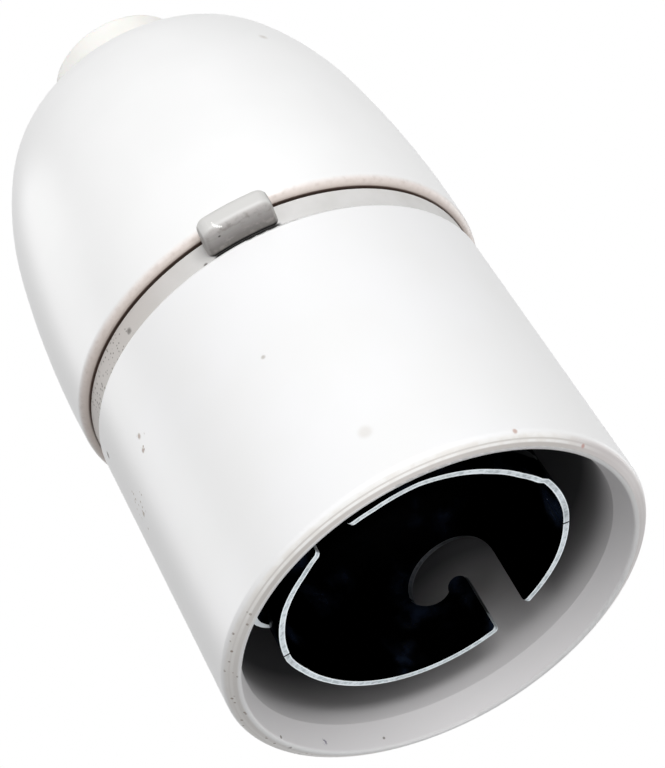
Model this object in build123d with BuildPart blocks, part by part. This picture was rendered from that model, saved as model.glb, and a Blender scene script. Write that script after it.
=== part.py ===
from build123d import *
import os
from math import asin, cos, degrees, radians, sin, tan

# A pendant holder for a two-pin bayonet lamp, with a cord grip under its cap.
# It stands on its mouth. The origin is the centre of the mouth plane, +Z runs up
# the cord, and the tab of the lock ring points along -Y.
os.makedirs("parts", exist_ok=True)

# Rolled metal sleeve that takes the lamp cap
lamp_bore_r = 11.12
sleeve_wall = 0.48
sleeve_length = 19.85
sleeve_rim_z = 2.63
sleeve_flange = 1.75
seam_gap = 0.15
seam_angle = 178.5
nick_angle = 11.4
nick_length = 2.6

# Its two hooked slots, measured up from the rim
slot_angle = 63.2
slot_width = 3.05
slot_height = 9.2
slot_bend_height = 5.2
slot_corner = 0.35
tongue_width = 1.6
tongue_height = 5.9
tongue_crown = 0.8
pocket_r = 1.3
pocket_height = 6.1

# Spring lugs lanced out of the sleeve
lug_angles = (193.0, -27.6)
lug_arc = 22.0
lug_side_cut = 1.0
lug_notch_margin = 2.0
lug_length = 4.4
lug_height = 2.2
lug_rise = 1.3
lug_root = 0.6
lug_play = 0.3

# White skirt with the threaded collar on top
mouth_r = 17.27
skirt_taper = 1.01
skirt_rise = 3.25
lip_inset = 1.07
lip_round = 0.3
lip_slope = 32.6
lip_edge_round = 0.6
flare_slope = 69.0
skirt_wall = 2.08
skirt_bore_taper = 0.4
shelf_thickness = 2.2
shelf_play = 0.5
collar_r = 14.5
collar_wall = 1.4
collar_height = 7.9
thread_play = 0.4

# Lock ring and its tab
lock_ring_wall = 1.1
lock_ring_height = 1.8
lock_ring_play = 0.05
tab_width = 5.8
tab_reach = 2.85
tab_rise = 0.15
tab_corner = 0.9
tab_edge_round = 0.55

# Domed cap, whose side is three arcs in a row
cap_gap = 0.24
cap_wall = 1.8
cap_edge_round = 0.7
side_arc_r = 83.0
side_turn = 11.0
shoulder_arc_r = 26.0
shoulder_turn = 17.0
crown_arc_r = 7.5
cap_thread_length = 6.8
grip_boss_wall = 1.8
grip_boss_depth = 5.9

# Split cord grip, whose neck stands out of the cap
grip_neck_r = 5.4
grip_neck_height = 4.6
grip_jaw_r = 7.3
grip_play = 0.15
grip_seat_play = 0.05
cord_bore_r = 3.6
jaw_bore_r = 3.3
jaw_bore_lead = 1.0
jaw_slit = 1.0
tooth_depth = 0.3
tooth_spacing = 1.6
tooth_count = 3

# Insulating block that carries the terminals
block_play = 0.15
block_base_height = 6.35
block_core_r = 11.5
block_core_height = 5.8
key_width = 2.4
key_depth = 0.6
key_play = 0.1
fence_thickness = 2.6
fence_height = 8.2
fence_length = 21.0
fence_end_width = 9.0
fence_end_thickness = 2.0
seat_r = 7.7
seat_bore_r = 4.8
seat_height = 2.2
seat_key_width = 0.8
seat_key_height = 1.5

# Lower disc that guides the plungers
guide_play = 0.17
guide_thickness = 3.47
guide_lip = 1.0
plunger_boss_r = 3.0
plunger_boss_height = 0.8

# Snap ring that holds the insides down
ring_thickness = 0.8
ring_play = 0.1
ring_groove_depth = 0.6
ring_width = 1.75
ring_gap = 4.0

# Live parts, one set on each side
plunger_spacing = 8.2
plunger_r = 1.8
plunger_reach = 5.9
plunger_nose = 0.6
shoulder_r = 2.1
shoulder_length = 2.5
stem_r = 0.95
stem_length = 3.5
running_play = 0.05
tube_wall = 0.45
tube_end_wall = 0.5
spring_wire_r = 0.22
spring_turns = 6.0
terminal_width = 5.6
terminal_height = 8.0
terminal_gap = 0.7
terminal_seat_depth = 1.5
wire_hole_r = 1.5
wire_hole_floor = 1.5

# Screws
terminal_screw_r = 1.25
terminal_screw_length = 4.4
terminal_screw_height = 5.2
guide_screw_r = 1.1
guide_screw_length = 7.6
guide_screw_spacing = 13.2
screw_head_r = 2.0
screw_head_height = 1.3
screw_slot_width = 0.5
screw_slot_depth = 0.6

close_fit = 0.03
edge_round = 0.3

# Heights
block_z = sleeve_rim_z + sleeve_length
shelf_z = block_z - shelf_thickness
skirt_top_z = block_z + skirt_rise
collar_top_z = skirt_top_z + collar_height
lock_ring_z = skirt_top_z + lock_ring_play
cap_z = lock_ring_z + lock_ring_height + cap_gap
core_z = block_z + block_base_height
fence_z = core_z + block_core_height
terminal_z = fence_z - terminal_seat_depth
seat_z = fence_z + fence_height
grip_z = seat_z + seat_height + grip_seat_play
guide_z = block_z - sleeve_wall - guide_thickness
tube_z = guide_z + guide_lip
shoulder_z = tube_z + running_play
tube_end_z = terminal_z - tube_end_wall

# Radii
sleeve_r = lamp_bore_r + sleeve_wall
flange_bore_r = lamp_bore_r - sleeve_flange
shelf_bore_r = sleeve_r + shelf_play
skirt_top_r = mouth_r - skirt_taper
skirt_bore_r = mouth_r - skirt_wall
collar_bore_r = collar_r - collar_wall
thread_bore_r = collar_r + thread_play
cap_base_r = thread_bore_r + cap_wall
lock_ring_r = thread_bore_r + lock_ring_wall
tab_r = lock_ring_r + tab_reach
block_r = collar_bore_r - block_play
groove_r = collar_bore_r + ring_groove_depth
tube_bore_r = shoulder_r + running_play
tube_r = tube_bore_r + tube_wall

# The lamp pins come to rest in the pockets, and the plungers stand across them
pocket_x = slot_width / 2 + tongue_width + pocket_r
pocket_angle = slot_angle + degrees(asin(pocket_x / lamp_bore_r))
plunger_angle = pocket_angle + 90


def level(z, turn=0.0):
    """A horizontal plane at height z, with its x axis turned about the cord."""
    x_dir = (cos(radians(turn)), sin(radians(turn)), 0)
    return Plane(origin=(0, 0, z), x_dir=x_dir, z_dir=(0, 0, 1))


def facing(turn):
    """An upright plane through the axis that looks out in one direction."""
    x_dir = (-sin(radians(turn)), cos(radians(turn)), 0)
    return Plane(origin=(0, 0, 0), x_dir=x_dir, z_dir=(cos(radians(turn)), sin(radians(turn)), 0))


def section(turn=0.0):
    """An upright plane for half sections: x is the radius and y is the height."""
    x_dir = (cos(radians(turn)), sin(radians(turn)), 0)
    return Plane(origin=(0, 0, 0), x_dir=x_dir, z_dir=(sin(radians(turn)), -cos(radians(turn)), 0))


def along_plungers(distance, z=0.0):
    """A point on the line through both plungers."""
    return Vector(distance * cos(radians(plunger_angle)), distance * sin(radians(plunger_angle)), z)


def round_edges(part, radius, z):
    """The round edges of one radius that lie at one height."""
    circles = part.edges().filter_by(GeomType.CIRCLE)
    return circles.filter_by(lambda e: abs(e.radius - radius) < 0.01 and abs(e.arc_center.Z - z) < 0.01)


# Skirt: the flared mouth, the tapered wall, the shelf and the collar in one moulding
with BuildPart() as skirt:
    with BuildSketch(section()):
        with BuildLine():
            crest = mouth_r - lip_inset, 0
            lip = JernArc(crest, (1, 0), lip_round, lip_slope)
            flare = JernArc(crest, (-1, 0), lip_round, -flare_slope)
            lip_edge_z = (lip @ 1).Y + (mouth_r - (lip @ 1).X) * tan(radians(lip_slope))
            flare_z = (flare @ 1).Y + ((flare @ 1).X - skirt_bore_r) * tan(radians(flare_slope))
            Polyline(
                lip @ 1,
                (mouth_r, lip_edge_z),
                (skirt_top_r, skirt_top_z),
                (collar_r, skirt_top_z),
                (collar_r, collar_top_z),
                (collar_bore_r, collar_top_z),
                (collar_bore_r, block_z),
                (shelf_bore_r, block_z),
                (shelf_bore_r, shelf_z),
                (skirt_bore_r - skirt_bore_taper, shelf_z),
                (skirt_bore_r, flare_z),
                flare @ 1,
            )
        make_face()
    revolve(axis=Axis.Z)
    fillet(round_edges(skirt, mouth_r, lip_edge_z), lip_edge_round)
    fillet(round_edges(skirt, skirt_top_r, skirt_top_z), edge_round)
    chamfer(round_edges(skirt, collar_r, collar_top_z), edge_round)

    # Groove for the snap ring
    with BuildSketch(level(core_z)):
        Circle(groove_r)
        Circle(shelf_bore_r, mode=Mode.SUBTRACT)
    extrude(amount=ring_thickness + ring_play, mode=Mode.SUBTRACT)

    # Keyway that stops the block from turning with the lamp
    with BuildSketch(level(block_z, pocket_angle)):
        with Locations((collar_bore_r, 0)):
            Rectangle(2 * (key_depth + key_play), key_width + 2 * key_play)
    extrude(amount=collar_top_z - block_z, mode=Mode.SUBTRACT)

    # Notches in the shelf that let the sleeve's lugs through
    for lug_angle in lug_angles:
        with BuildSketch(section(lug_angle - lug_arc / 2 - lug_notch_margin)):
            with Locations(((shelf_bore_r + sleeve_r + lug_rise + lug_play) / 2, shelf_z + shelf_thickness / 2)):
                Rectangle(sleeve_r + lug_rise + lug_play - shelf_bore_r + edge_round, shelf_thickness)
        revolve(axis=Axis.Z, revolution_arc=lug_arc + 2 * lug_notch_margin, mode=Mode.SUBTRACT)
skirt.part.label = "skirt"
export_step(skirt.part, "parts/skirt.step")


# Bayonet sleeve: sheet rolled to a tube, flanged inwards at its upper end
with BuildPart() as bayonet_sleeve:
    with BuildSketch(section()):
        with BuildLine():
            Polyline(
                (lamp_bore_r, sleeve_rim_z),
                (sleeve_r, sleeve_rim_z),
                (sleeve_r, block_z),
                (flange_bore_r, block_z),
                (flange_bore_r, block_z - sleeve_wall),
                (lamp_bore_r, block_z - sleeve_wall),
                close=True,
            )
        make_face()
    revolve(axis=Axis.Z)
    fillet(round_edges(bayonet_sleeve, sleeve_r, block_z), edge_round)

    # The open seam of the rolled sheet, and a nick in the rim opposite
    with BuildSketch(facing(seam_angle)):
        with Locations((0, block_z / 2)):
            Rectangle(seam_gap, 2 * block_z)
    extrude(amount=shelf_bore_r, mode=Mode.SUBTRACT)
    with BuildSketch(facing(nick_angle)):
        with Locations((0, sleeve_rim_z)):
            Rectangle(seam_gap, 2 * nick_length)
    extrude(amount=shelf_bore_r, mode=Mode.SUBTRACT)

    # A lamp pin goes up the straight part, over the tongue and down into the pocket
    slot_side = slot_width / 2
    arch_top = (pocket_x + pocket_r - slot_side) / 2, sleeve_rim_z + slot_height
    for slot_turn in (0, 180):
        with BuildSketch(facing(slot_angle + slot_turn)):
            with BuildLine():
                entry = Line((-slot_side, 0), (-slot_side, sleeve_rim_z + slot_bend_height))
                rise = TangentArc(entry @ 1, arch_top, tangent=(0, 1))
                pocket_side = pocket_x + pocket_r, sleeve_rim_z + pocket_height
                TangentArc(arch_top, pocket_side, tangent=rise % 1)
                tongue_side = pocket_x - pocket_r, sleeve_rim_z + tongue_height - tongue_crown
                pocket_floor = pocket_x, sleeve_rim_z + pocket_height - pocket_r
                ThreePointArc(pocket_side, pocket_floor, tongue_side)
                tongue_top = slot_side + tongue_width / 2, sleeve_rim_z + tongue_height
                exit_corner = slot_side, sleeve_rim_z + tongue_height - tongue_crown
                ThreePointArc(tongue_side, tongue_top, exit_corner)
                Polyline(exit_corner, (slot_side, 0), (-slot_side, 0))
            make_face()
        extrude(amount=shelf_bore_r, mode=Mode.SUBTRACT)

    # The corners at the rim are rounded, so that the pins find their slots
    across_slots = facing(slot_angle).x_dir
    rim_corners = bayonet_sleeve.edges().filter_by(GeomType.LINE)
    rim_corners = rim_corners.filter_by(lambda e: abs(e.center().Z - sleeve_rim_z) < 0.01)
    fillet(rim_corners.filter_by(lambda e: abs(e.center().dot(across_slots)) < slot_width), slot_corner)

    # Lugs: a window is cut round three sides and the sheet inside it leans out
    lug_z = sleeve_rim_z + lug_height
    for lug_angle in lug_angles:
        with BuildSketch(section(lug_angle - lug_arc / 2)):
            with Locations((sleeve_r, lug_z + lug_length / 2)):
                Rectangle(4 * sleeve_wall, lug_length)
        revolve(axis=Axis.Z, revolution_arc=lug_arc, mode=Mode.SUBTRACT)
        with BuildSketch(section(lug_angle - lug_arc / 2 + lug_side_cut)):
            with BuildLine():
                Polyline(
                    (sleeve_r + lug_rise, lug_z),
                    (sleeve_r, lug_z + lug_length + lug_root),
                    (lamp_bore_r, lug_z + lug_length + lug_root),
                    (lamp_bore_r + lug_rise, lug_z),
                    close=True,
                )
            make_face()
        revolve(axis=Axis.Z, revolution_arc=lug_arc - 2 * lug_side_cut)

bayonet_sleeve.part.label = "bayonet_sleeve"
export_step(bayonet_sleeve.part, "parts/bayonet_sleeve.step")


# Lock ring: screwed up under the cap by its tab, so that the cap can't work loose
with BuildPart() as lock_ring:
    with BuildSketch(level(lock_ring_z + tab_rise)):
        with Locations((0, -tab_r / 2)):
            Rectangle(tab_width, tab_r)
        Circle(tab_r, mode=Mode.INTERSECT)
    extrude(amount=lock_ring_height)
    fillet(lock_ring.edges().filter_by(Axis.Z).group_by(Axis.Y)[0], tab_corner)
    for face_z in (lock_ring_z + tab_rise, lock_ring_z + tab_rise + lock_ring_height):
        fillet(round_edges(lock_ring, tab_r, face_z), tab_edge_round)
    with BuildSketch(level(lock_ring_z)):
        Circle(lock_ring_r)
    extrude(amount=lock_ring_height)
    with BuildSketch(level(lock_ring_z)):
        Circle(thread_bore_r)
    extrude(amount=lock_ring_height + tab_rise, mode=Mode.SUBTRACT)
lock_ring.part.label = "lock_ring"
export_step(lock_ring.part, "parts/lock_ring.step")


# Domed cap: screws down over the collar, and its boss squeezes the cord grip
with BuildPart() as dome_cap:
    crown_turn = 90 - side_turn - shoulder_turn
    with BuildSketch(section()):
        with BuildLine():
            side = JernArc((cap_base_r, cap_z), (0, 1), side_arc_r, side_turn)
            shoulder = JernArc(side @ 1, side % 1, shoulder_arc_r, shoulder_turn)
            crown = JernArc(shoulder @ 1, shoulder % 1, crown_arc_r, crown_turn)
            crown_z = (crown @ 1).Y
            Polyline(crown @ 1, (0, crown_z), (0, cap_z), side @ 0)
        make_face()
    revolve(axis=Axis.Z)
    with BuildSketch(section()):
        with BuildLine():
            side = JernArc((cap_base_r - cap_wall, cap_z), (0, 1), side_arc_r - cap_wall, side_turn)
            shoulder = JernArc(side @ 1, side % 1, shoulder_arc_r - cap_wall, shoulder_turn)
            crown = JernArc(shoulder @ 1, shoulder % 1, crown_arc_r - cap_wall, crown_turn)
            ceiling_z = (crown @ 1).Y
            Polyline(crown @ 1, (0, ceiling_z), (0, cap_z), side @ 0)
        make_face()
    revolve(axis=Axis.Z, mode=Mode.SUBTRACT)
    with BuildSketch(level(cap_z)):
        Circle(thread_bore_r)
    extrude(amount=cap_thread_length, mode=Mode.SUBTRACT)
    fillet(round_edges(dome_cap, cap_base_r, cap_z), cap_edge_round)

    # The boss under the crown, bored to a cone that fits the jaws
    jaw_slope = (grip_jaw_r - grip_neck_r) / (ceiling_z - grip_z)
    cone_r = grip_neck_r + grip_play + jaw_slope * grip_boss_depth
    with BuildSketch(level(ceiling_z - grip_boss_depth)):
        Circle(cone_r + grip_boss_wall)
    extrude(amount=grip_boss_depth)
    with BuildSketch(section()):
        with BuildLine():
            Polyline(
                (0, ceiling_z - grip_boss_depth),
                (cone_r, ceiling_z - grip_boss_depth),
                (grip_neck_r + grip_play, ceiling_z),
                (grip_neck_r + grip_play, crown_z),
                (0, crown_z),
                close=True,
            )
        make_face()
    revolve(axis=Axis.Z, mode=Mode.SUBTRACT)
dome_cap.part.label = "dome_cap"
export_step(dome_cap.part, "parts/dome_cap.step")


# Cord grip: four jaws with teeth inside, joined by the neck that stands out of the cap
with BuildPart() as cord_grip:
    neck_top_z = crown_z + grip_neck_height
    teeth = []
    for tooth in range(tooth_count):
        tooth_z = grip_z + (tooth + 1) * tooth_spacing
        teeth += [
            (jaw_bore_r, tooth_z - tooth_spacing / 2),
            (jaw_bore_r - tooth_depth, tooth_z),
            (jaw_bore_r, tooth_z + tooth_depth / 2),
        ]
    with BuildSketch(section()):
        with BuildLine():
            Polyline(
                (jaw_bore_r, grip_z),
                *teeth,
                (jaw_bore_r, ceiling_z),
                (cord_bore_r, ceiling_z + jaw_bore_lead),
                (cord_bore_r, neck_top_z),
                (grip_neck_r, neck_top_z),
                (grip_neck_r, ceiling_z),
                (grip_jaw_r, grip_z),
                close=True,
            )
        make_face()
    revolve(axis=Axis.Z)
    fillet(round_edges(cord_grip, grip_neck_r, neck_top_z), edge_round)
    fillet(round_edges(cord_grip, cord_bore_r, neck_top_z), edge_round)
    with BuildSketch(level(grip_z, plunger_angle)):
        Rectangle(jaw_slit, 3 * grip_jaw_r)
        Rectangle(3 * grip_jaw_r, jaw_slit)
    extrude(amount=ceiling_z - grip_z, mode=Mode.SUBTRACT)
cord_grip.part.label = "cord_grip"
export_step(cord_grip.part, "parts/cord_grip.step")


# Terminal block: a keyed base, a core with the tube bores, a fence between the
# terminals and a ring on top that the jaws of the cord grip stand on
with BuildPart() as terminal_block:
    with BuildSketch(level(block_z)):
        Circle(block_r)
    extrude(amount=block_base_height)
    with BuildSketch(level(block_z, pocket_angle)):
        with Locations((block_r, 0)):
            Rectangle(4 * key_depth, key_width)
        Circle(collar_bore_r + key_depth, mode=Mode.INTERSECT)
    extrude(amount=block_base_height)
    with BuildSketch(level(core_z)):
        Circle(block_core_r)
    extrude(amount=block_core_height)
    with BuildSketch(level(fence_z, plunger_angle)):
        Rectangle(fence_thickness, fence_length)
        with GridLocations(0, fence_length - fence_end_thickness, 1, 2):
            Rectangle(fence_end_width, fence_end_thickness)
    extrude(amount=fence_height)
    with BuildSketch(level(seat_z)):
        Circle(seat_r)
        Circle(seat_bore_r, mode=Mode.SUBTRACT)
    extrude(amount=seat_height)

    # Two keys stand in the slits of the cord grip and keep the cord from twisting
    with BuildSketch(level(seat_z + seat_height, plunger_angle)):
        with GridLocations(0, seat_r + seat_bore_r, 1, 2):
            Rectangle(seat_key_width, seat_r - seat_bore_r - 2 * edge_round)
    extrude(amount=seat_key_height)

    # Seats for the terminals, bores for the tubes, and pilot holes for the guide screws
    terminal_x = fence_thickness / 2 + terminal_gap + terminal_width / 2
    with BuildSketch(level(terminal_z, plunger_angle)):
        with GridLocations(2 * terminal_x, 0, 2, 1):
            Rectangle(terminal_width + 2 * close_fit, terminal_width + 2 * close_fit)
    extrude(amount=terminal_seat_depth, mode=Mode.SUBTRACT)
    with BuildSketch(level(block_z, plunger_angle)):
        with GridLocations(plunger_spacing, 0, 2, 1):
            Circle(tube_r + close_fit)
    extrude(amount=terminal_z - block_z, mode=Mode.SUBTRACT)
    with BuildSketch(level(block_z, plunger_angle)):
        with GridLocations(0, guide_screw_spacing, 1, 2):
            Circle(guide_screw_r + close_fit)
    extrude(amount=block_base_height, mode=Mode.SUBTRACT)
terminal_block.part.label = "terminal_block"
export_step(terminal_block.part, "parts/terminal_block.step")


# Plunger guide: the disc at the back of the socket, which clamps the sleeve's flange
with BuildPart() as plunger_guide:
    with BuildSketch(level(guide_z)):
        Circle(lamp_bore_r - guide_play)
    extrude(amount=guide_thickness)
    fillet(round_edges(plunger_guide, lamp_bore_r - guide_play, guide_z), edge_round)
    with BuildSketch(level(guide_z + guide_thickness)):
        Circle(flange_bore_r - guide_play)
    extrude(amount=sleeve_wall)
    with BuildSketch(level(guide_z - plunger_boss_height, plunger_angle)):
        with GridLocations(plunger_spacing, 0, 2, 1):
            Circle(plunger_boss_r)
    extrude(amount=plunger_boss_height)
    with BuildSketch(level(guide_z - plunger_boss_height, plunger_angle)):
        with GridLocations(plunger_spacing, 0, 2, 1):
            Circle(plunger_r + running_play)
    extrude(amount=block_z - guide_z + plunger_boss_height, mode=Mode.SUBTRACT)
    with BuildSketch(level(tube_z, plunger_angle)):
        with GridLocations(plunger_spacing, 0, 2, 1):
            Circle(tube_r + close_fit)
    extrude(amount=block_z - tube_z, mode=Mode.SUBTRACT)
    with BuildSketch(level(guide_z, plunger_angle)):
        with GridLocations(0, guide_screw_spacing, 1, 2):
            Circle(guide_screw_r + 2 * running_play)
    extrude(amount=block_z - guide_z, mode=Mode.SUBTRACT)
    with BuildSketch(level(guide_z, plunger_angle)):
        with GridLocations(0, guide_screw_spacing, 1, 2):
            Circle(screw_head_r + 2 * running_play)
    extrude(amount=screw_head_height + running_play, mode=Mode.SUBTRACT)
plunger_guide.part.label = "plunger_guide"
export_step(plunger_guide.part, "parts/plunger_guide.step")


# Snap ring: a split spring ring in the collar's groove, with its gap over the keyway
with BuildPart() as retaining_ring:
    with BuildSketch(level(core_z, pocket_angle)):
        Circle(groove_r - ring_play / 2)
        Circle(groove_r - ring_width, mode=Mode.SUBTRACT)
        with Locations((groove_r, 0)):
            Rectangle(4 * ring_width, ring_gap, mode=Mode.SUBTRACT)
    extrude(amount=ring_thickness)
retaining_ring.part.label = "retaining_ring"
export_step(retaining_ring.part, "parts/retaining_ring.step")


# The live parts stand in two sets, one on each side of the fence
for name, side in (("a", 1), ("b", -1)):
    plunger_point = along_plungers(side * plunger_spacing / 2)
    plunger_axis = Axis(plunger_point, (0, 0, 1))
    plunger_section = Plane(origin=plunger_point, x_dir=(1, 0, 0), z_dir=(0, -1, 0))

    # Contact tube: a drawn brass cup that guides the plunger and backs its spring
    with BuildPart() as contact_tube:
        with BuildSketch(plunger_section):
            with BuildLine():
                Polyline(
                    (tube_bore_r, tube_z),
                    (tube_r, tube_z),
                    (tube_r, terminal_z),
                    (0, terminal_z),
                    (0, tube_end_z),
                    (tube_bore_r, tube_end_z),
                    close=True,
                )
            make_face()
        revolve(axis=plunger_axis)
    contact_tube.part.label = f"contact_tube_{name}"
    export_step(contact_tube.part, f"parts/contact_tube_{name}.step")

    # Plunger: the turned brass pin that presses on the lamp's contact
    with BuildPart() as plunger:
        tip_z = guide_z - plunger_reach
        spring_z = shoulder_z + shoulder_length
        with BuildSketch(plunger_section):
            with BuildLine():
                Polyline(
                    (0, tip_z),
                    (plunger_r, tip_z),
                    (plunger_r, shoulder_z),
                    (shoulder_r, shoulder_z),
                    (shoulder_r, spring_z),
                    (stem_r, spring_z),
                    (stem_r, spring_z + stem_length),
                    (0, spring_z + stem_length),
                    close=True,
                )
            make_face()
        revolve(axis=plunger_axis)
        fillet(round_edges(plunger, plunger_r, tip_z), plunger_nose)
    plunger.part.label = f"plunger_{name}"
    export_step(plunger.part, f"parts/plunger_{name}.step")

    # Plunger spring: coiled round the stem, between the shoulder and the tube's end
    with BuildPart() as plunger_spring:
        spring_height = tube_end_z - spring_z - 2 * spring_wire_r
        spring_r = (stem_r + tube_bore_r) / 2
        coil_start = (plunger_point.X, plunger_point.Y, spring_z + spring_wire_r)
        with BuildLine() as coil:
            Helix(pitch=spring_height / spring_turns, height=spring_height, radius=spring_r, center=coil_start)
        with BuildSketch(Plane(origin=coil.line @ 0, z_dir=coil.line % 0)):
            RegularPolygon(radius=spring_wire_r, side_count=6)
        sweep(is_frenet=True)
    plunger_spring.part.label = f"plunger_spring_{name}"
    export_step(plunger_spring.part, f"parts/plunger_spring_{name}.step")

    # Terminal: a brass block with an upright hole for the wire and a side screw
    outward = along_plungers(side)
    terminal_face = along_plungers(side * (terminal_x + terminal_width / 2), terminal_z + terminal_screw_height)
    screw_plane = Plane(origin=terminal_face, x_dir=(0, 0, 1), z_dir=outward)
    with BuildPart() as terminal:
        with BuildSketch(level(terminal_z, plunger_angle)):
            with Locations((side * terminal_x, 0)):
                Rectangle(terminal_width, terminal_width)
        extrude(amount=terminal_height)
        chamfer(terminal.edges().filter_by(Axis.Z), edge_round)
        with BuildSketch(level(terminal_z + wire_hole_floor, plunger_angle)):
            with Locations((side * terminal_x, 0)):
                Circle(wire_hole_r)
        extrude(amount=terminal_height, mode=Mode.SUBTRACT)
        with BuildSketch(screw_plane):
            Circle(terminal_screw_r + close_fit)
        extrude(amount=-terminal_width / 2, mode=Mode.SUBTRACT)
    terminal.part.label = f"terminal_{name}"
    export_step(terminal.part, f"parts/terminal_{name}.step")

    # Terminal screw: clamps the wire, and is reached from the side with the cap off
    with BuildPart() as terminal_screw:
        head_plane = screw_plane.offset(terminal_screw_length - terminal_width / 2)
        with BuildSketch(head_plane):
            Circle(terminal_screw_r)
        extrude(amount=-terminal_screw_length)
        with BuildSketch(head_plane):
            Circle(screw_head_r)
        extrude(amount=screw_head_height)
        with BuildSketch(head_plane.offset(screw_head_height)):
            Rectangle(screw_slot_width, 3 * screw_head_r)
        extrude(amount=-screw_slot_depth, mode=Mode.SUBTRACT)
    terminal_screw.part.label = f"terminal_screw_{name}"
    export_step(terminal_screw.part, f"parts/terminal_screw_{name}.step")

    # Guide screw: holds the guide to the block, with its head sunk in the guide
    with BuildPart() as guide_screw:
        head_z = guide_z + screw_head_height
        screw_y = side * guide_screw_spacing / 2
        with BuildSketch(level(head_z, plunger_angle)):
            with Locations((0, screw_y)):
                Circle(guide_screw_r)
        extrude(amount=guide_screw_length)
        with BuildSketch(level(guide_z, plunger_angle)):
            with Locations((0, screw_y)):
                Circle(screw_head_r)
        extrude(amount=screw_head_height)
        with BuildSketch(level(guide_z, plunger_angle)):
            with Locations((0, screw_y)):
                Rectangle(3 * screw_head_r, screw_slot_width)
        extrude(amount=screw_slot_depth, mode=Mode.SUBTRACT)
    guide_screw.part.label = f"guide_screw_{name}"
    export_step(guide_screw.part, f"parts/guide_screw_{name}.step")
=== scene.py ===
from math import atan2, cos, degrees, hypot, pi, radians, sin

import bmesh
import bpy
from mathutils import Matrix, Vector


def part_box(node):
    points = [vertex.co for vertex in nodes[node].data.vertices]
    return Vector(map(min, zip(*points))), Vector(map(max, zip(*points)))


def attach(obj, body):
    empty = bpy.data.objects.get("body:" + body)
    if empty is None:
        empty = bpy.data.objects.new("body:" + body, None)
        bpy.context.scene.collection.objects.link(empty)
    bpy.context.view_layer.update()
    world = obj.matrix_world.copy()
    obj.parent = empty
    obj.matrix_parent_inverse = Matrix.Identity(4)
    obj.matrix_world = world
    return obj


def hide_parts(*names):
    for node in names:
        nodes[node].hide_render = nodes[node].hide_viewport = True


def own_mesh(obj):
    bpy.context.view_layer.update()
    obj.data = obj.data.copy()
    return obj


# A cord grip lamp holder, dressed piece by piece in the order in which it goes together.
# It stands on its mouth, with +Z up the cord. Lengths are in metres, but the places and
# sizes of marks are in millimetres.
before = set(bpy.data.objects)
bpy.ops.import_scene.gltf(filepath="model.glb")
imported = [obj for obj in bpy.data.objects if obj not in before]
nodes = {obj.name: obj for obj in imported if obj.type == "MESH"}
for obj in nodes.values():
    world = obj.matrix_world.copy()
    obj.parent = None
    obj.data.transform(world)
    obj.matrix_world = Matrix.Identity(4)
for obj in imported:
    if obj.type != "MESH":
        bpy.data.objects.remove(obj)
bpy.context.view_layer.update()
mm = 0.001


# Skirt: the flared lower shell, moulded in white urea resin. It came off a polished
# tool, so it has a soft gloss and a very slight ripple, and use has left brown specks
# on one side and a mottled lip. Its lip carries painted shade, its inside painted shade and light.
mouth_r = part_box("skirt")[1].x
lip_crest_r = mouth_r - 1.07 * mm
# Where two grey lines of painted shade run round the lip, outside its crest
shade_line_r = lip_crest_r + 0.28 * mm
second_shade_line_r = shade_line_r + 0.38 * mm
flare_top = 2.1 * mm
# Height at which the inside wall's painted shade is full
wall_shade_full_z = 7.2 * mm
shelf_z = 22.9 * mm
# Centre of the painted light that the big slot lets in
slot_light_centre = (2.5, 14.7, 5.5)


def paint(hex_code):
    """An sRGB hex value as the linear colour that a socket takes."""
    channels = [int(hex_code[i : i + 2], 16) / 255 for i in (0, 2, 4)]
    return [c / 12.92 if c <= 0.04045 else ((c + 0.055) / 1.055) ** 2.4 for c in channels] + [1.0]


def add_node(material, kind, settings=None, links=None):
    """Adds a node to a material or the world, with its properties, set inputs and linked inputs."""
    node = material.node_tree.nodes.new("ShaderNode" + kind)
    for key, value in (settings or {}).items():
        if isinstance(key, str) and hasattr(node, key):
            setattr(node, key, value)
        else:
            node.inputs[key].default_value = value
    for key, source in (links or {}).items():
        material.node_tree.links.new(source, node.inputs[key])
    return node


def new_finish(name, colour, roughness, metallic=0.0, ior=1.5):
    """A material with one Principled shader, and that shader."""
    material = bpy.data.materials.new(name)
    material.use_nodes = True
    material.diffuse_color = paint(colour)
    shader = material.node_tree.nodes["Principled BSDF"]
    settings = {"Base Color": paint(colour), "Roughness": roughness, "Metallic": metallic, "IOR": ior}
    for socket, value in settings.items():
        shader.inputs[socket].default_value = value
    return material, shader


def link(material, source, target):
    """Joins an output to an input."""
    material.node_tree.links.new(source, target)


def place(material):
    """Object coordinates, which on every piece of this object are the frame's own."""
    return add_node(material, "TexCoord").outputs["Object"]


def height_and_radius(material):
    """Height above the mouth plane, distance from the cord's axis and X, in metres."""
    axes = add_node(material, "SeparateXYZ", links={0: place(material)})
    flat = add_node(material, "CombineXYZ", links={0: axes.outputs[0], 1: axes.outputs[1]})
    radius = add_node(material, "VectorMath", {"operation": "LENGTH"}, {0: flat.outputs[0]})
    return axes.outputs[2], radius.outputs["Value"], axes.outputs[0]


def fade(material, value, low, high, turn="SMOOTHSTEP"):
    """0 where value is at low and 1 where it is at high. Low may be the greater of the two."""
    settings = {"interpolation_type": turn, 1: low, 2: high}
    return add_node(material, "MapRange", settings, {0: value}).outputs[0]


def distance(material, centre):
    """How far the surface is from a point that is given in mm, in metres."""
    settings = {"operation": "DISTANCE", 1: Vector(centre) * mm}
    return add_node(material, "VectorMath", settings, {0: place(material)}).outputs["Value"]


def times(material, *factors):
    """The product of outputs and plain numbers, of which the first is an output."""
    product = factors[0]
    for factor in factors[1:]:
        node = add_node(material, "Math", {"operation": "MULTIPLY"}, {0: product})
        if isinstance(factor, float):
            node.inputs[1].default_value = factor
        else:
            link(material, factor, node.inputs[1])
        product = node.outputs[0]
    return product


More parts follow.
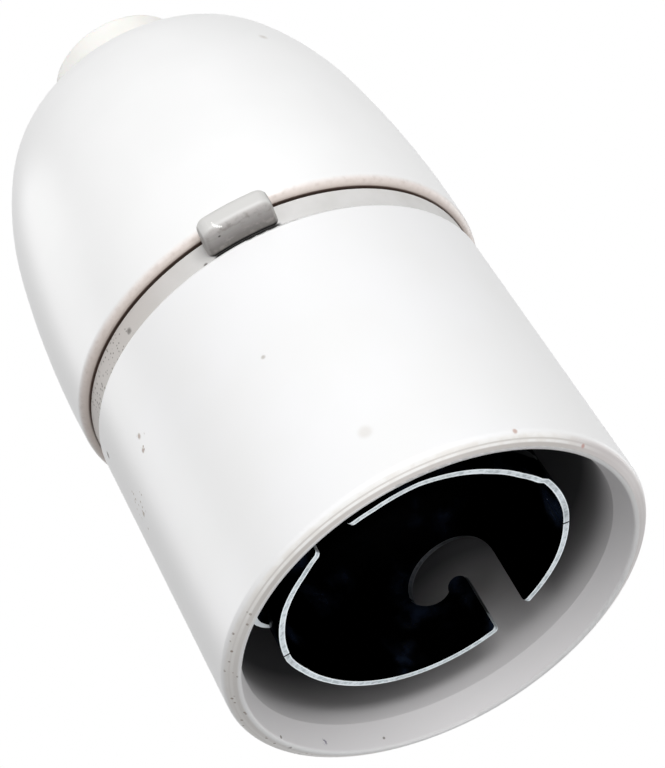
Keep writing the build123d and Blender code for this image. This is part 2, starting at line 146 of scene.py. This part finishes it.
def speckle(material, size, low, high, detail=4.0):
    """Soft patches about size across: 0 where their noise is below low and 1 where it is above high."""
    noise = add_node(material, "TexNoise", {"Scale": 1 / size, "Detail": detail}, {0: place(material)})
    return fade(material, noise.outputs[0], low, high)


def dots(material, spacing, size, share):
    """1 in small round spots of up to size, in a share of the cells that are spacing across."""
    cells = add_node(material, "TexVoronoi", {"Scale": 1 / spacing}, {0: place(material)})
    parts = add_node(material, "SeparateXYZ", links={0: cells.outputs["Color"]})
    spot = fade(material, cells.outputs["Distance"], size / spacing, 0.5 * size / spacing)
    return times(material, spot, fade(material, parts.outputs[0], share + 0.01, share - 0.01))


def tint(material, base, factor, colour):
    """Lays a colour over base where factor is 1. Base and colour are hex values or outputs."""
    node = add_node(material, "Mix", {"data_type": "RGBA"}, {0: factor})
    for index, value in ((6, base), (7, colour)):
        if isinstance(value, str):
            node.inputs[index].default_value = paint(value)
        else:
            link(material, value, node.inputs[index])
    return node.outputs[2]


def layers(material, base, coats):
    """Lays colours over base one after another. Each coat is a factor and a colour."""
    for factor, colour in coats:
        base = tint(material, base, factor, colour)
    return base


def steer(material, shader, socket, factor, at_0, at_1):
    """Moves one of the shader's numbers from at_0, where factor is 0, to at_1, where it is 1."""
    number = add_node(material, "MapRange", {3: at_0, 4: at_1}, {0: factor})
    link(material, number.outputs[0], shader.inputs[socket])


def relief(material, shader, height, depth):
    """Stands the surface up by depth where height is 1."""
    bump = add_node(material, "Bump", {"Distance": depth, "Strength": 1.0}, {"Height": height})
    link(material, bump.outputs[0], shader.inputs["Normal"])


def ripple(material, shader, size, depth):
    """Soft hills about size across and depth high."""
    noise = add_node(material, "TexNoise", {"Scale": 1 / size, "Detail": 2.0}, {0: place(material)})
    relief(material, shader, noise.outputs[0], depth)


def ring_line(material, radius, line_r, half_width):
    """1 on a thin circle about the cord's axis."""
    soft, hard = half_width * 1.6, half_width * 0.6
    return times(
        material, fade(material, radius, line_r - soft, line_r - hard),
        fade(material, radius, line_r + soft, line_r + hard),
    )


def smudge(material, base, centre, reach, colour, grain, sparse):
    """A smudge of grains round a point on the surface. The higher sparse is, the fewer they are."""
    near = fade(material, distance(material, centre), reach * mm, reach * mm * 0.3)
    grains = speckle(material, grain * mm, sparse, sparse + 0.08)
    return tint(material, base, times(material, near, grains), colour)


def specks(material, base, centre, reach, colour, spacing, size):
    """Separate round specks within reach of a point on the surface."""
    near = fade(material, distance(material, centre), reach * mm, reach * mm * 0.6)
    spots = dots(material, spacing * mm, size * mm, 0.6)
    return tint(material, base, times(material, near, spots), colour)


def finish(names, material):
    """Gives CAD nodes their material."""
    for name in names:
        piece = nodes[name]
        piece.data.materials.clear()
        piece.data.materials.append(material)


def urea(name, tone, cloud_tone):
    """White urea resin off a polished tool: a soft gloss, a slight ripple and clouds of a second tone."""
    material, shader = new_finish(name, tone, 0.34, ior=1.6)
    ripple(material, shader, 6 * mm, 0.02 * mm)
    cloud = speckle(material, 9 * mm, 0.3, 0.7, 2.0)
    return material, shader, tint(material, tone, cloud, cloud_tone)


skirt_urea, shader, colour = urea("skirt_urea", "f3f3f4", "f1f1f1")
height, radius, sideways = height_and_radius(skirt_urea)
left_end = fade(skirt_urea, sideways, -10 * mm, -15 * mm)
right_end = fade(skirt_urea, sideways, 11.5 * mm, 15.5 * mm)

# The lip outside its crest: mottled, two grey lines of painted shade, greyer at its two ends, brown specks
# at the left
past_crest = fade(skirt_urea, radius, lip_crest_r + 0.02 * mm, lip_crest_r + 0.2 * mm)
lip = times(skirt_urea, past_crest, fade(skirt_urea, height, 0.72 * mm, 0.45 * mm))
lip_tone = layers(skirt_urea, "fbfaf8", (
    (speckle(skirt_urea, 0.9 * mm, 0.42, 0.66), "f3f0ec"),
    (ring_line(skirt_urea, radius, shade_line_r, 0.13 * mm), "c6c1bd"),
    (ring_line(skirt_urea, radius, second_shade_line_r, 0.05 * mm), "dedad6"),
    (times(skirt_urea, left_end, 0.75), "e3e0dd"),
    (times(skirt_urea, right_end, 0.9), "d2cccb"),
    (times(skirt_urea, left_end, dots(skirt_urea, 0.55 * mm, 0.15 * mm, 0.6)), "8f8177"),
))
colour = tint(skirt_urea, colour, lip, lip_tone)

# Inside, the flare has lost its gloss, and its grey is partly the resin's own and partly painted shade;
# the wall darkens in painted shade towards the lamp, less so round the big slot, as painted light.
inside = fade(skirt_urea, radius, lip_crest_r - 0.1 * mm, lip_crest_r - 0.3 * mm)
inside = times(skirt_urea, inside, fade(skirt_urea, height, shelf_z, shelf_z - 0.4 * mm))
# Painted shade deepens up the wall, and painted light round the big slot holds it back
depth = fade(skirt_urea, height, flare_top, wall_shade_full_z, "LINEAR")
slot_light = fade(skirt_urea, distance(skirt_urea, slot_light_centre), 0.3 * mm, 7.4 * mm, "LINEAR")
inside_tone_and_shade = tint(skirt_urea, "e7e5e6", times(skirt_urea, depth, slot_light), "5e5e61")
colour = tint(skirt_urea, colour, inside, inside_tone_and_shade)
steer(skirt_urea, shader, "Roughness", inside, 0.34, 0.6)

# Smudges: where each lies, how far it reaches, its colour, the size of its grains and how
# sparse they are
for mark in (
    ((-16.02, -3.20, 23.72), 0.4, "3f3833", 0.8, 0.1),
    ((-13.62, -9.35, 19.45), 0.32, "9a8577", 0.4, 0.2),
    ((-13.85, -9.05, 18.35), 0.28, "8f7b6e", 0.4, 0.2),
    ((-15.95, -4.75, 16.3), 0.3, "a3958a", 0.4, 0.2),
    ((0.16, -17.10, 4.86), 0.75, "e6e4e2", 0.8, 0.3),
    ((-3.30, -16.30, 15.43), 0.25, "c6c2be", 0.4, 0.3),
    ((9.67, -14.26, 0.79), 0.28, "c9b2aa", 0.4, 0.3),
    ((13.90, -9.24, 0.26), 0.25, "caa39c", 0.4, 0.3),
    ((-14.69, 6.06, 0.26), 0.2, "8a8580", 0.6, 0.1),
    ((-14.44, 7.61, 0.03), 0.22, "8f8a87", 0.6, 0.1),
    ((-11.78, 10.33, 0.83), 0.42, "8d8796", 0.25, 0.5),
    ((-7.63, 13.73, 0.74), 0.15, "847e7a", 0.6, 0.1),
):
    colour = smudge(skirt_urea, colour, *mark)

# Clusters of brown specks on one side: where, how far, colour, and the specks' spacing and size
for cluster in (
    ((-13.7, -9.25, 18.9), 1.0, "917c6f", 0.42, 0.14),
    ((-15.8, -5.1, 17.4), 1.8, "a89a8f", 0.42, 0.14),
    ((-16.05, -4.47, 15.77), 0.8, "978a80", 0.42, 0.14),
):
    colour = specks(skirt_urea, colour, *cluster)
link(skirt_urea, colour, shader.inputs["Base Color"])
finish(["skirt"], skirt_urea)


# Collar thread: a round-topped right-hand thread moulded on the skirt's collar. The lock
# ring and the cap run on it, and both have the same thread inside.
lock_ring_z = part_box("lock_ring")[0].z
collar_r = 14.5 * mm
pitch = 2.0 * mm
ridge_height = 0.3 * mm
ridge_width = 0.9 * mm


def new_object(name, data):
    """An object in the scene."""
    thing = bpy.data.objects.new(name, data)
    bpy.context.scene.collection.objects.link(thing)
    return thing


def new_piece(name, mesh):
    """An object made of a bmesh, which is used up."""
    data = bpy.data.meshes.new(name)
    mesh.to_mesh(data)
    mesh.free()
    return new_object(name, data)


def thread_ridge(name, wall_r, outward, bottom, turns, start_angle):
    """One ridge that winds up a wall, spun from a half-round section whose foot is in the wall."""
    steps_per_turn = 72
    lean = 1 if outward else -1
    foot_r = wall_r - lean * 0.1 * mm
    section = []
    for step in range(7):
        rise = sin(pi * step / 6) * ridge_height
        section.append((wall_r + lean * rise, -cos(pi * step / 6) * ridge_width / 2))
    section += [(foot_r, ridge_width / 2), (foot_r, -ridge_width / 2)]
    mesh = bmesh.new()
    corners = [mesh.verts.new((r * cos(start_angle), r * sin(start_angle), bottom + z)) for r, z in section]
    bmesh.ops.spin(
        mesh, geom=[mesh.faces.new(corners)], cent=(0, 0, 0), axis=(0, 0, 1),
        dvec=(0, 0, pitch / steps_per_turn), angle=2 * pi * turns, steps=round(steps_per_turn * turns),
        use_duplicate=False,
    )
    bmesh.ops.recalc_face_normals(mesh, faces=mesh.faces)
    ridge = new_piece(name, mesh)
    for face in ridge.data.polygons:
        face.use_smooth = len(face.vertices) == 4
    return ridge


collar_thread = thread_ridge("collar_thread", collar_r, True, lock_ring_z + 0.8 * mm, 3.2, 0.0)
collar_thread.data.materials.append(skirt_urea)
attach(collar_thread, "holder")


# Bayonet sleeve: sheet steel rolled to a tube and nickel plated. Its slots and rim were
# sheared, and the free end has kinks from handling, so it is a bent copy of the node.
sleeve_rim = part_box("bayonet_sleeve")[0].z
sleeve_wall = 0.48 * mm
lamp_bore_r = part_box("bayonet_sleeve")[1].y - sleeve_wall
bright_rim = 2 * mm
slot_depth = 12 * mm
kink_reach = 7 * mm

# How far the rim stands out of round: angle in degrees, then mm
rim_kinks = (
    (-265.0, -0.1), (-254.0, -0.1), (-212.0, -0.1), (-197.1, 0.0), (-185.0, 0.27), (-155.1, 0.2),
    (-136.1, 0.0), (-123.7, 0.16), (-98.5, -0.08), (-79.4, 0.14), (-49.1, -0.2), (-33.1, -0.2),
    (-26.6, -0.06), (-22.3, 0.03), (-19.5, 0.27), (4.4, 0.27), (11.9, 0.2), (31.0, 0.13),
    (51.9, -0.04), (95.0, -0.1),
)

# The nick in the rim and the open seam, in degrees: too narrow for light to reach their sides, whose edges
# get painted shade
narrow_gaps = (11.9, 178.5)
narrow_half_arc = 1.5
# Painted shade dims the pale edges higher up the slots to the first share, and on the lug sides to the
# second
slot_edge_share = 0.3
lug_side_share = 0.1

# Two spring lugs are pressed out of the wall: angle, share of the full rise, how pale the edge is; the
# second lug's dim edge is painted shade
lugs = ((-167.0, 1.0, 1.0), (-27.6, 0.35, 0.1))
lug_half_arc = 10.0
lug_z = sleeve_rim + 2.2 * mm
lug_reach = 5.0 * mm
lug_rise = 1.3 * mm


def angle_of(point):
    """Degrees about the cord's axis, from +X."""
    return degrees(atan2(point.y, point.x))


def degrees_past(angle, mark):
    """How far an angle is past a mark, by the shorter way round."""
    return (angle - mark + 180) % 360 - 180


def upright_plane(angle):
    """The plane that holds the axis at an angle in degrees: a point on it, and its normal."""
    return (0, 0, 0), (-sin(radians(angle)), cos(radians(angle)), 0)


sleeve_mesh = bmesh.new()
sleeve_mesh.from_mesh(nodes["bayonet_sleeve"].data)
bmesh.ops.remove_doubles(sleeve_mesh, verts=sleeve_mesh.verts, dist=0.002 * mm)
cuts = [upright_plane(kink[0]) for kink in rim_kinks]
cuts += [upright_plane(angle) for angle in range(0, 180, 6)]
cuts += [((0, 0, sleeve_rim + rise * mm), (0, 0, 1)) for rise in (0.8, 1.6, 2.6, 4, 5.5, 7)]
cuts += [upright_plane(lug[0] + step) for lug in lugs for step in (-7.5, -5, -2.5, 0, 2.5, 5, 7.5)]
for point, normal in cuts:
    everything = sleeve_mesh.verts[:] + sleeve_mesh.edges[:] + sleeve_mesh.faces[:]
    bmesh.ops.bisect_plane(sleeve_mesh, geom=everything, dist=0.001 * mm, plane_co=point, plane_no=normal)

# Before it is bent, the sheared faces, dimmed with painted shade where little light reaches, and the way
# across the wall are noted for its finish
sheared_and_shaded = sleeve_mesh.loops.layers.float.new("sheared_and_shaded")
across_wall = sleeve_mesh.verts.layers.float.new("across_wall")
for face in sleeve_mesh.faces:
    middle = face.calc_center_median()
    middle_r = hypot(middle.x, middle.y)
    facing_out = (face.normal.x * middle.x + face.normal.y * middle.y) / middle_r
    level = abs(face.normal.z) > 0.5
    bare_and_shade = 1.0 if abs(facing_out) < 0.5 and middle.z < sleeve_rim + slot_depth else 0.0
    if middle.z > sleeve_rim + bright_rim:
        bare_and_shade *= slot_edge_share
    if not level and any(abs(degrees_past(angle_of(middle), gap)) < narrow_half_arc for gap in narrow_gaps):
        bare_and_shade = 0.0
    for lug_angle, share, edge_bare_and_shade in lugs:
        past = degrees_past(angle_of(middle), lug_angle)
        if abs(past) < lug_half_arc + 2 and middle.z > lug_z - 0.1 * mm:
            on_lug_edge = level and middle_r > lamp_bore_r + lug_rise
            bare_and_shade = edge_bare_and_shade if on_lug_edge else bare_and_shade * lug_side_share
    face.smooth = True
    for corner in face.loops:
        corner[sheared_and_shaded] = bare_and_shade
for vertex in sleeve_mesh.verts:
    vertex[across_wall] = (hypot(vertex.co.x, vertex.co.y) - lamp_bore_r) / sleeve_wall
for edge in sleeve_mesh.edges:
    edge.smooth = edge.calc_face_angle(pi) < radians(35)

# The lugs, straight until now, are pressed to an arch, and the kinks fade out up the wall
for vertex in sleeve_mesh.verts:
    vertex_r = hypot(vertex.co.x, vertex.co.y)
    angle = angle_of(vertex.co)
    for lug_angle, share, edge_bare_and_shade in lugs:
        past = degrees_past(angle, lug_angle)
        rise = lug_rise * (1 - (vertex.co.z - lug_z) / lug_reach)
        on_lug = abs(past) < lug_half_arc + 0.1 and 0 < rise < lug_rise * 1.01
        if on_lug and vertex_r > lamp_bore_r + rise - 0.02 * mm:
            arch = share * (1 - min(1.0, abs(past) / lug_half_arc) ** 2)
            pressed = 1 - rise * (1 - arch) / vertex_r
            vertex.co.xy *= pressed
            vertex_r *= pressed
    if angle > rim_kinks[-1][0]:
        angle -= 360
    for (start, out_start), (end, out_end) in zip(rim_kinks, rim_kinks[1:]):
        if start <= angle <= end:
            out = out_start + (out_end - out_start) * (angle - start) / (end - start)
    free = max(0.0, 1 - (vertex.co.z - sleeve_rim) / kink_reach)
    vertex.co.xy *= 1 + out * mm * free / vertex_r
rolled_sleeve = new_piece("rolled_sleeve", sleeve_mesh)
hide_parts("bayonet_sleeve")


def two_tone(material, shader, colour, patches, patch_colour):
    """Gives a shader one colour, with patches of a second."""
    link(material, tint(material, colour, patches, patch_colour), shader.inputs["Base Color"])


# Nickel plate, painted near black as painted shade for the dark it mirrors inside the
# socket. The sheared edges are pale, dull and mottled between two burnished corners.
plated_steel, shader = new_finish("plated_steel", "0b0d10", 0.25, metallic=1.0)
edge_and_shade = add_node(plated_steel, "Attribute", {"attribute_name": "sheared_and_shaded"}).outputs["Fac"]
across = add_node(plated_steel, "Attribute", {"attribute_name": "across_wall"}).outputs["Fac"]
edge_tone = layers(plated_steel, "ced5d9", (
    (speckle(plated_steel, 0.35 * mm, 0.4, 0.65), "aab3b8"),
    (fade(plated_steel, across, 0.28, 0.08), "e2e9ec"),
    (fade(plated_steel, across, 0.72, 0.92), "e2e9ec"),
))
# Blue patches of painted sheen, where the metal is also made partly dull
painted_sheen = speckle(plated_steel, 5 * mm, 0.52, 0.7)
dark_plate_and_sheen = tint(plated_steel, "0c0d0f", painted_sheen, "2b3850")
two_tone(plated_steel, shader, dark_plate_and_sheen, edge_and_shade, edge_tone)
steer(plated_steel, shader, "Roughness", edge_and_shade, 0.25, 0.5)
steer(plated_steel, shader, "Metallic", painted_sheen, 1.0, 0.4)
# Painted shade: off the edges, the grazing reflections are tinted dark, so only the edges glint
link(plated_steel, tint(plated_steel, "262a30", edge_and_shade, "ffffff"), shader.inputs["Specular Tint"])
ripple(plated_steel, shader, 3 * mm, 0.01 * mm)
rolled_sleeve.data.materials.append(plated_steel)
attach(rolled_sleeve, "holder")


# Plunger guide and terminal block: compression moulded in black phenolic resin, which
# is dull where it left the tool and has a fine wood-flour grain.
phenolic, shader = new_finish("black_phenolic", "1a1715", 0.42, ior=1.6)
two_tone(phenolic, shader, "1a1715", speckle(phenolic, 0.25 * mm, 0.5, 0.7), "2a221c")
ripple(phenolic, shader, 0.3 * mm, 0.01 * mm)
finish(["plunger_guide", "terminal_block"], phenolic)


# Live parts: turned brass plungers and terminals and drawn brass tubes, dulled to a warm
# brown in patches. The tool rings round them are drawn 1.9 mm apart, as finer ones wouldn't show.
tool_ring_gap = 1.885 * mm
turned_brass, shader = new_finish("turned_brass", "c9a45c", 0.28, metallic=1.0)
two_tone(turned_brass, shader, "c9a45c", speckle(turned_brass, 1.5 * mm, 0.45, 0.7), "8d6a36")
bands = {"wave_type": "BANDS", "bands_direction": "Z", "Scale": pi / 10 / tool_ring_gap}
tool_rings = add_node(turned_brass, "TexWave", bands, {0: place(turned_brass)})
relief(turned_brass, shader, tool_rings.outputs["Fac"], 0.005 * mm)
brass_nodes = ["contact_tube_a", "contact_tube_b", "plunger_a", "plunger_b", "terminal_a", "terminal_b"]
finish(brass_nodes, turned_brass)


# Springs and snap ring: hard-drawn steel wire and strip, grey with a faint drawing grain.
# The two plunger springs sit in the tubes, and the snap ring holds the block in the collar.
spring_steel, shader = new_finish("drawn_spring_steel", "8e9196", 0.3, metallic=1.0)
two_tone(spring_steel, shader, "8e9196", speckle(spring_steel, 0.4 * mm, 0.4, 0.7), "6f7276")
finish(["plunger_spring_a", "plunger_spring_b", "retaining_ring"], spring_steel)

# Each plunger spring is a copy of its node with a mesh of its own, fixed to the holder
for side in "ab":
    node = nodes["plunger_spring_" + side]
    coil = new_object("coil_spring_" + side, node.data.copy())
    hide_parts(node.name)
    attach(coil, "holder")
    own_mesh(coil)


# Screws: zinc plated steel, bright with a slightly frosty skin. Two clamp the wires in the
# terminals, and two hold the guide to the block.
zinc, shader = new_finish("zinc_plate", "b9bbbd", 0.36, metallic=1.0)
two_tone(zinc, shader, "b9bbbd", speckle(zinc, 0.3 * mm, 0.4, 0.7), "9c9fa3")
screw_nodes = ["terminal_screw_a", "terminal_screw_b", "guide_screw_a", "guide_screw_b"]
finish(screw_nodes, zinc)


# Lock ring: light grey nylon with a tab to turn it by. Its faces are dull, the tab's
# underside is darkened with painted shade, and a painted shadow lies in the gap below it.
ring_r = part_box("lock_ring")[1].x
tab_flat_r = ring_r + 2.4 * mm
tab_half_width = 2.9 * mm
tab_foot = (0.15, -16.0, 25.8)
thread_bore_r = collar_r + 0.4 * mm
grey_nylon, shader = new_finish("grey_nylon", "d6d5d3", 0.5, ior=1.53)
height, radius, sideways = height_and_radius(grey_nylon)
side_reach = add_node(grey_nylon, "Math", {"operation": "ABSOLUTE"}, {0: sideways}).outputs[0]
on_tab = fade(grey_nylon, radius, ring_r + 0.02 * mm, ring_r + 0.06 * mm)
tab_ends = fade(grey_nylon, side_reach, tab_half_width - 0.2 * mm, tab_half_width - 0.04 * mm)
underside = fade(grey_nylon, height, lock_ring_z + 0.55 * mm, lock_ring_z + 0.2 * mm)
# The tab's underside in painted shade, with a painted shadow line at the ring
underside_shade = layers(grey_nylon, "b2aeac", (
    (fade(grey_nylon, radius, tab_flat_r, ring_r + 0.9 * mm, "LINEAR"), "7f7b78"),
    (speckle(grey_nylon, 0.5 * mm, 0.45, 0.7), "97928e"),
    (fade(grey_nylon, radius, ring_r + 0.38 * mm, ring_r + 0.18 * mm), "171514"),
))
# Painted shadow on the ring below the tab
gap_shadow = times(
    grey_nylon, fade(grey_nylon, distance(grey_nylon, tab_foot), tab_half_width, tab_half_width - 0.4 * mm),
    fade(grey_nylon, radius, ring_r + 0.05 * mm, ring_r + 0.01 * mm),
    fade(grey_nylon, height, lock_ring_z + 0.3 * mm, lock_ring_z + 0.15 * mm),
)
colour = layers(grey_nylon, "d8d7d6", (
    (speckle(grey_nylon, 3 * mm, 0.35, 0.65), "d0cfcd"),
    (fade(grey_nylon, sideways, -1 * mm, -12 * mm), "c9c4c0"),
    (on_tab, "d3d2d0"),
    (times(grey_nylon, on_tab, tab_ends), "9f9c99"),
    (times(grey_nylon, on_tab, underside), underside_shade),
    (gap_shadow, "171514"),
))

# Painted highlights along the tab's corner, a painted shadow under the tab, a dark spot beside it and
# smudges along the ring
for mark in (
    ((-1.73, -18.77, 26.62), 0.1, "f4f2f0", 0.5, 0.0),
    ((-1.72, -18.76, 26.43), 0.13, "fffefc", 0.5, 0.0),
    ((-1.65, -18.73, 26.27), 0.15, "fffefc", 0.5, 0.0),
    ((-1.52, -18.68, 26.16), 0.15, "fffefc", 0.5, 0.0),
    ((-1.37, -18.62, 26.08), 0.13, "fffefc", 0.5, 0.0),
    ((-1.24, -18.58, 26.04), 0.1, "f4f2f0", 0.5, 0.0),
    ((-1.66, -17.78, 25.93), 0.15, "3c3937", 0.5, 0.0),
    ((-3.41, -15.63, 25.80), 0.25, "6f6b68", 0.4, 0.2),
    ((-10.54, -12.04, 26.44), 0.35, "7b7672", 0.4, 0.3),
):
    colour = smudge(grey_nylon, colour, *mark)
for cluster in (
    ((-11.2, -11.4, 26.4), 1.4, "8f8a86", 0.3, 0.09),
    ((-12.6, -9.9, 26.4), 2.0, "858079", 0.3, 0.1),
    ((-14.6, -6.6, 26.4), 2.6, "857e78", 0.3, 0.13),
):
    colour = specks(grey_nylon, colour, *cluster)
link(grey_nylon, colour, shader.inputs["Base Color"])
ripple(grey_nylon, shader, 1.2 * mm, 0.02 * mm)
finish(["lock_ring"], grey_nylon)
ring_thread = thread_ridge("ring_thread", thread_bore_r, False, lock_ring_z + 0.5 * mm, 0.4, 0.7 * pi)
ring_thread.data.materials.append(grey_nylon)
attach(ring_thread, "lock_ring")


# Cord grip: split jaws and neck in natural nylon, a creamier white than the shells, with
# a waxy skin that lets a little light in.
natural_nylon, shader = new_finish("natural_nylon", "f7f6f2", 0.42, ior=1.53)
shader.inputs["Subsurface Weight"].default_value = 0.1
shader.inputs["Subsurface Scale"].default_value = 0.5 * mm
two_tone(natural_nylon, shader, "f7f6f2", speckle(natural_nylon, 4 * mm, 0.35, 0.65), "f3f1ec")
ripple(natural_nylon, shader, 2 * mm, 0.02 * mm)
finish(["cord_grip"], natural_nylon)


# Domed cap: urea like the skirt's, from a slightly whiter batch. Its rounded lower rim
# is a taupe that darkens towards the inside in painted shade, with a painted shadow line at the lock ring.
cap_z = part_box("dome_cap")[0].z
cap_base_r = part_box("dome_cap")[1].x
cap_urea, shader, colour = urea("cap_urea", "f8f8f8", "f5f5f5")
height, radius, sideways = height_and_radius(cap_urea)
on_rim = fade(cap_urea, height, cap_z + 0.75 * mm, cap_z + 0.2 * mm)
# The rim's taupe, darkened inwards in painted shade, with a painted shadow line in the gap at the ring
rim_tone_and_shade = layers(cap_urea, "ebe2dd", (
    (fade(cap_urea, radius, cap_base_r, cap_base_r - 0.6 * mm, "LINEAR"), "d3c5bc"),
    (speckle(cap_urea, 0.5 * mm, 0.4, 0.8), "d6cac3"),
    (fade(cap_urea, radius, ring_r + 0.16 * mm, ring_r + 0.02 * mm), "5d4a41"),
))
colour = tint(cap_urea, colour, on_rim, rim_tone_and_shade)
colour = smudge(cap_urea, colour, (9.53, -10.47, 46.32), 0.6, "c9c2bb", 0.6, 0.3)
link(cap_urea, colour, shader.inputs["Base Color"])
finish(["dome_cap"], cap_urea)
cap_thread = thread_ridge("cap_thread", thread_bore_r, False, cap_z + 0.8 * mm, 2.4, pi)
cap_thread.data.materials.append(cap_urea)
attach(cap_thread, "dome_cap")


# Floor: a pale sheet that shows from above, with the holder's shadow on it. The camera
# looks up from below it, so the sheet lets everything through from that side.
floor_size = 0.8
floor_gap = 0.2 * mm
floor_mesh = bmesh.new()
bmesh.ops.create_grid(floor_mesh, x_segments=1, y_segments=1, size=floor_size / 2)
bmesh.ops.translate(floor_mesh, verts=floor_mesh.verts, vec=(0, 0, -floor_gap))
floor = new_piece("floor", floor_mesh)
paper, shader = new_finish("floor_paper", "ececec", 0.9)
from_below = add_node(paper, "NewGeometry").outputs["Backfacing"]
rays = add_node(paper, "LightPath").outputs
solid = add_node(paper, "Math", {"operation": "SUBTRACT"}, {0: rays["Is Camera Ray"], 1: from_below})
solid.use_clamp = True
clear = add_node(paper, "BsdfTransparent")
sheet = add_node(paper, "MixShader", links={0: solid.outputs[0], 1: clear.outputs[0], 2: shader.outputs[0]})
output = paper.node_tree.nodes["Material Output"]
link(paper, sheet.outputs[0], output.inputs["Surface"])
floor.data.materials.append(paper)


# World: a little even light from all round. The camera, and what mirrors or passes light,
# sees it as a white background.
fill_light = 0.18
world = bpy.data.worlds.new("studio")
world.use_nodes = True
bpy.context.scene.world = world
background = world.node_tree.nodes["Background"]
rays = add_node(world, "LightPath").outputs
seen = rays["Is Camera Ray"]
for ray in ("Is Glossy Ray", "Is Transmission Ray"):
    seen = add_node(world, "Math", {"operation": "MAXIMUM"}, {0: seen, 1: rays[ray]}).outputs[0]
strength = add_node(world, "Mix", {"data_type": "FLOAT", 2: fill_light, 3: 1.0}, {0: seen})
link(world, strength.outputs[0], background.inputs["Strength"])
background.inputs["Color"].default_value = paint("ffffff")


# Camera: at the photograph's angle, looking up past the mouth along the holder. Its turn
# is given by its right and down directions.
camera_place = Vector((-29.89, -334.87, -216.77)) * mm
camera_right = Vector((0.88111, 0.21701, -0.42017))
camera_down = Vector((-0.46673, 0.54219, -0.69871))
camera_back = camera_right.cross(-camera_down).normalized()
camera_data = bpy.data.cameras.new("camera")
camera_data.lens = 255.75
camera_data.sensor_width = 36
camera_data.clip_start = 0.01
camera = new_object("camera", camera_data)
turn = Matrix((camera_right, -camera_down, camera_back)).transposed()
camera.matrix_world = Matrix.Translation(camera_place) @ turn.to_4x4()
bpy.context.scene.camera = camera


# Lamps: a large soft box above the camera does most of the work. Weaker ones beside and
# behind the holder lift its sides, so that its edges stand out from the white.
soft_box_size = 0.35
lit_middle = Vector((0, 0, 30)) * mm


def soft_box(name, place_mm, power):
    """A square lamp that faces the holder's middle."""
    lamp_data = bpy.data.lights.new(name, "AREA")
    lamp_data.shape = "SQUARE"
    lamp_data.size = soft_box_size
    lamp_data.energy = power
    lamp = new_object(name, lamp_data)
    lamp.location = Vector(place_mm) * mm
    lamp.rotation_mode = "QUATERNION"
    lamp.rotation_quaternion = (lamp.location - lit_middle).to_track_quat("Z", "Y")


soft_box("main_box", (123, -586, -14), 2.87)
soft_box("left_box", (-341, -474, -110), 0.55)
soft_box("right_box", (378, -452, -81), 0.14)
soft_box("low_right_box", (57, -79, -562), 0.68)
soft_box("back_right_box", (481, 356, -15), 0.78)
soft_box("back_left_box", (-435, 131, 422), 0.80)

bpy.context.scene.view_settings.view_transform = "Standard"
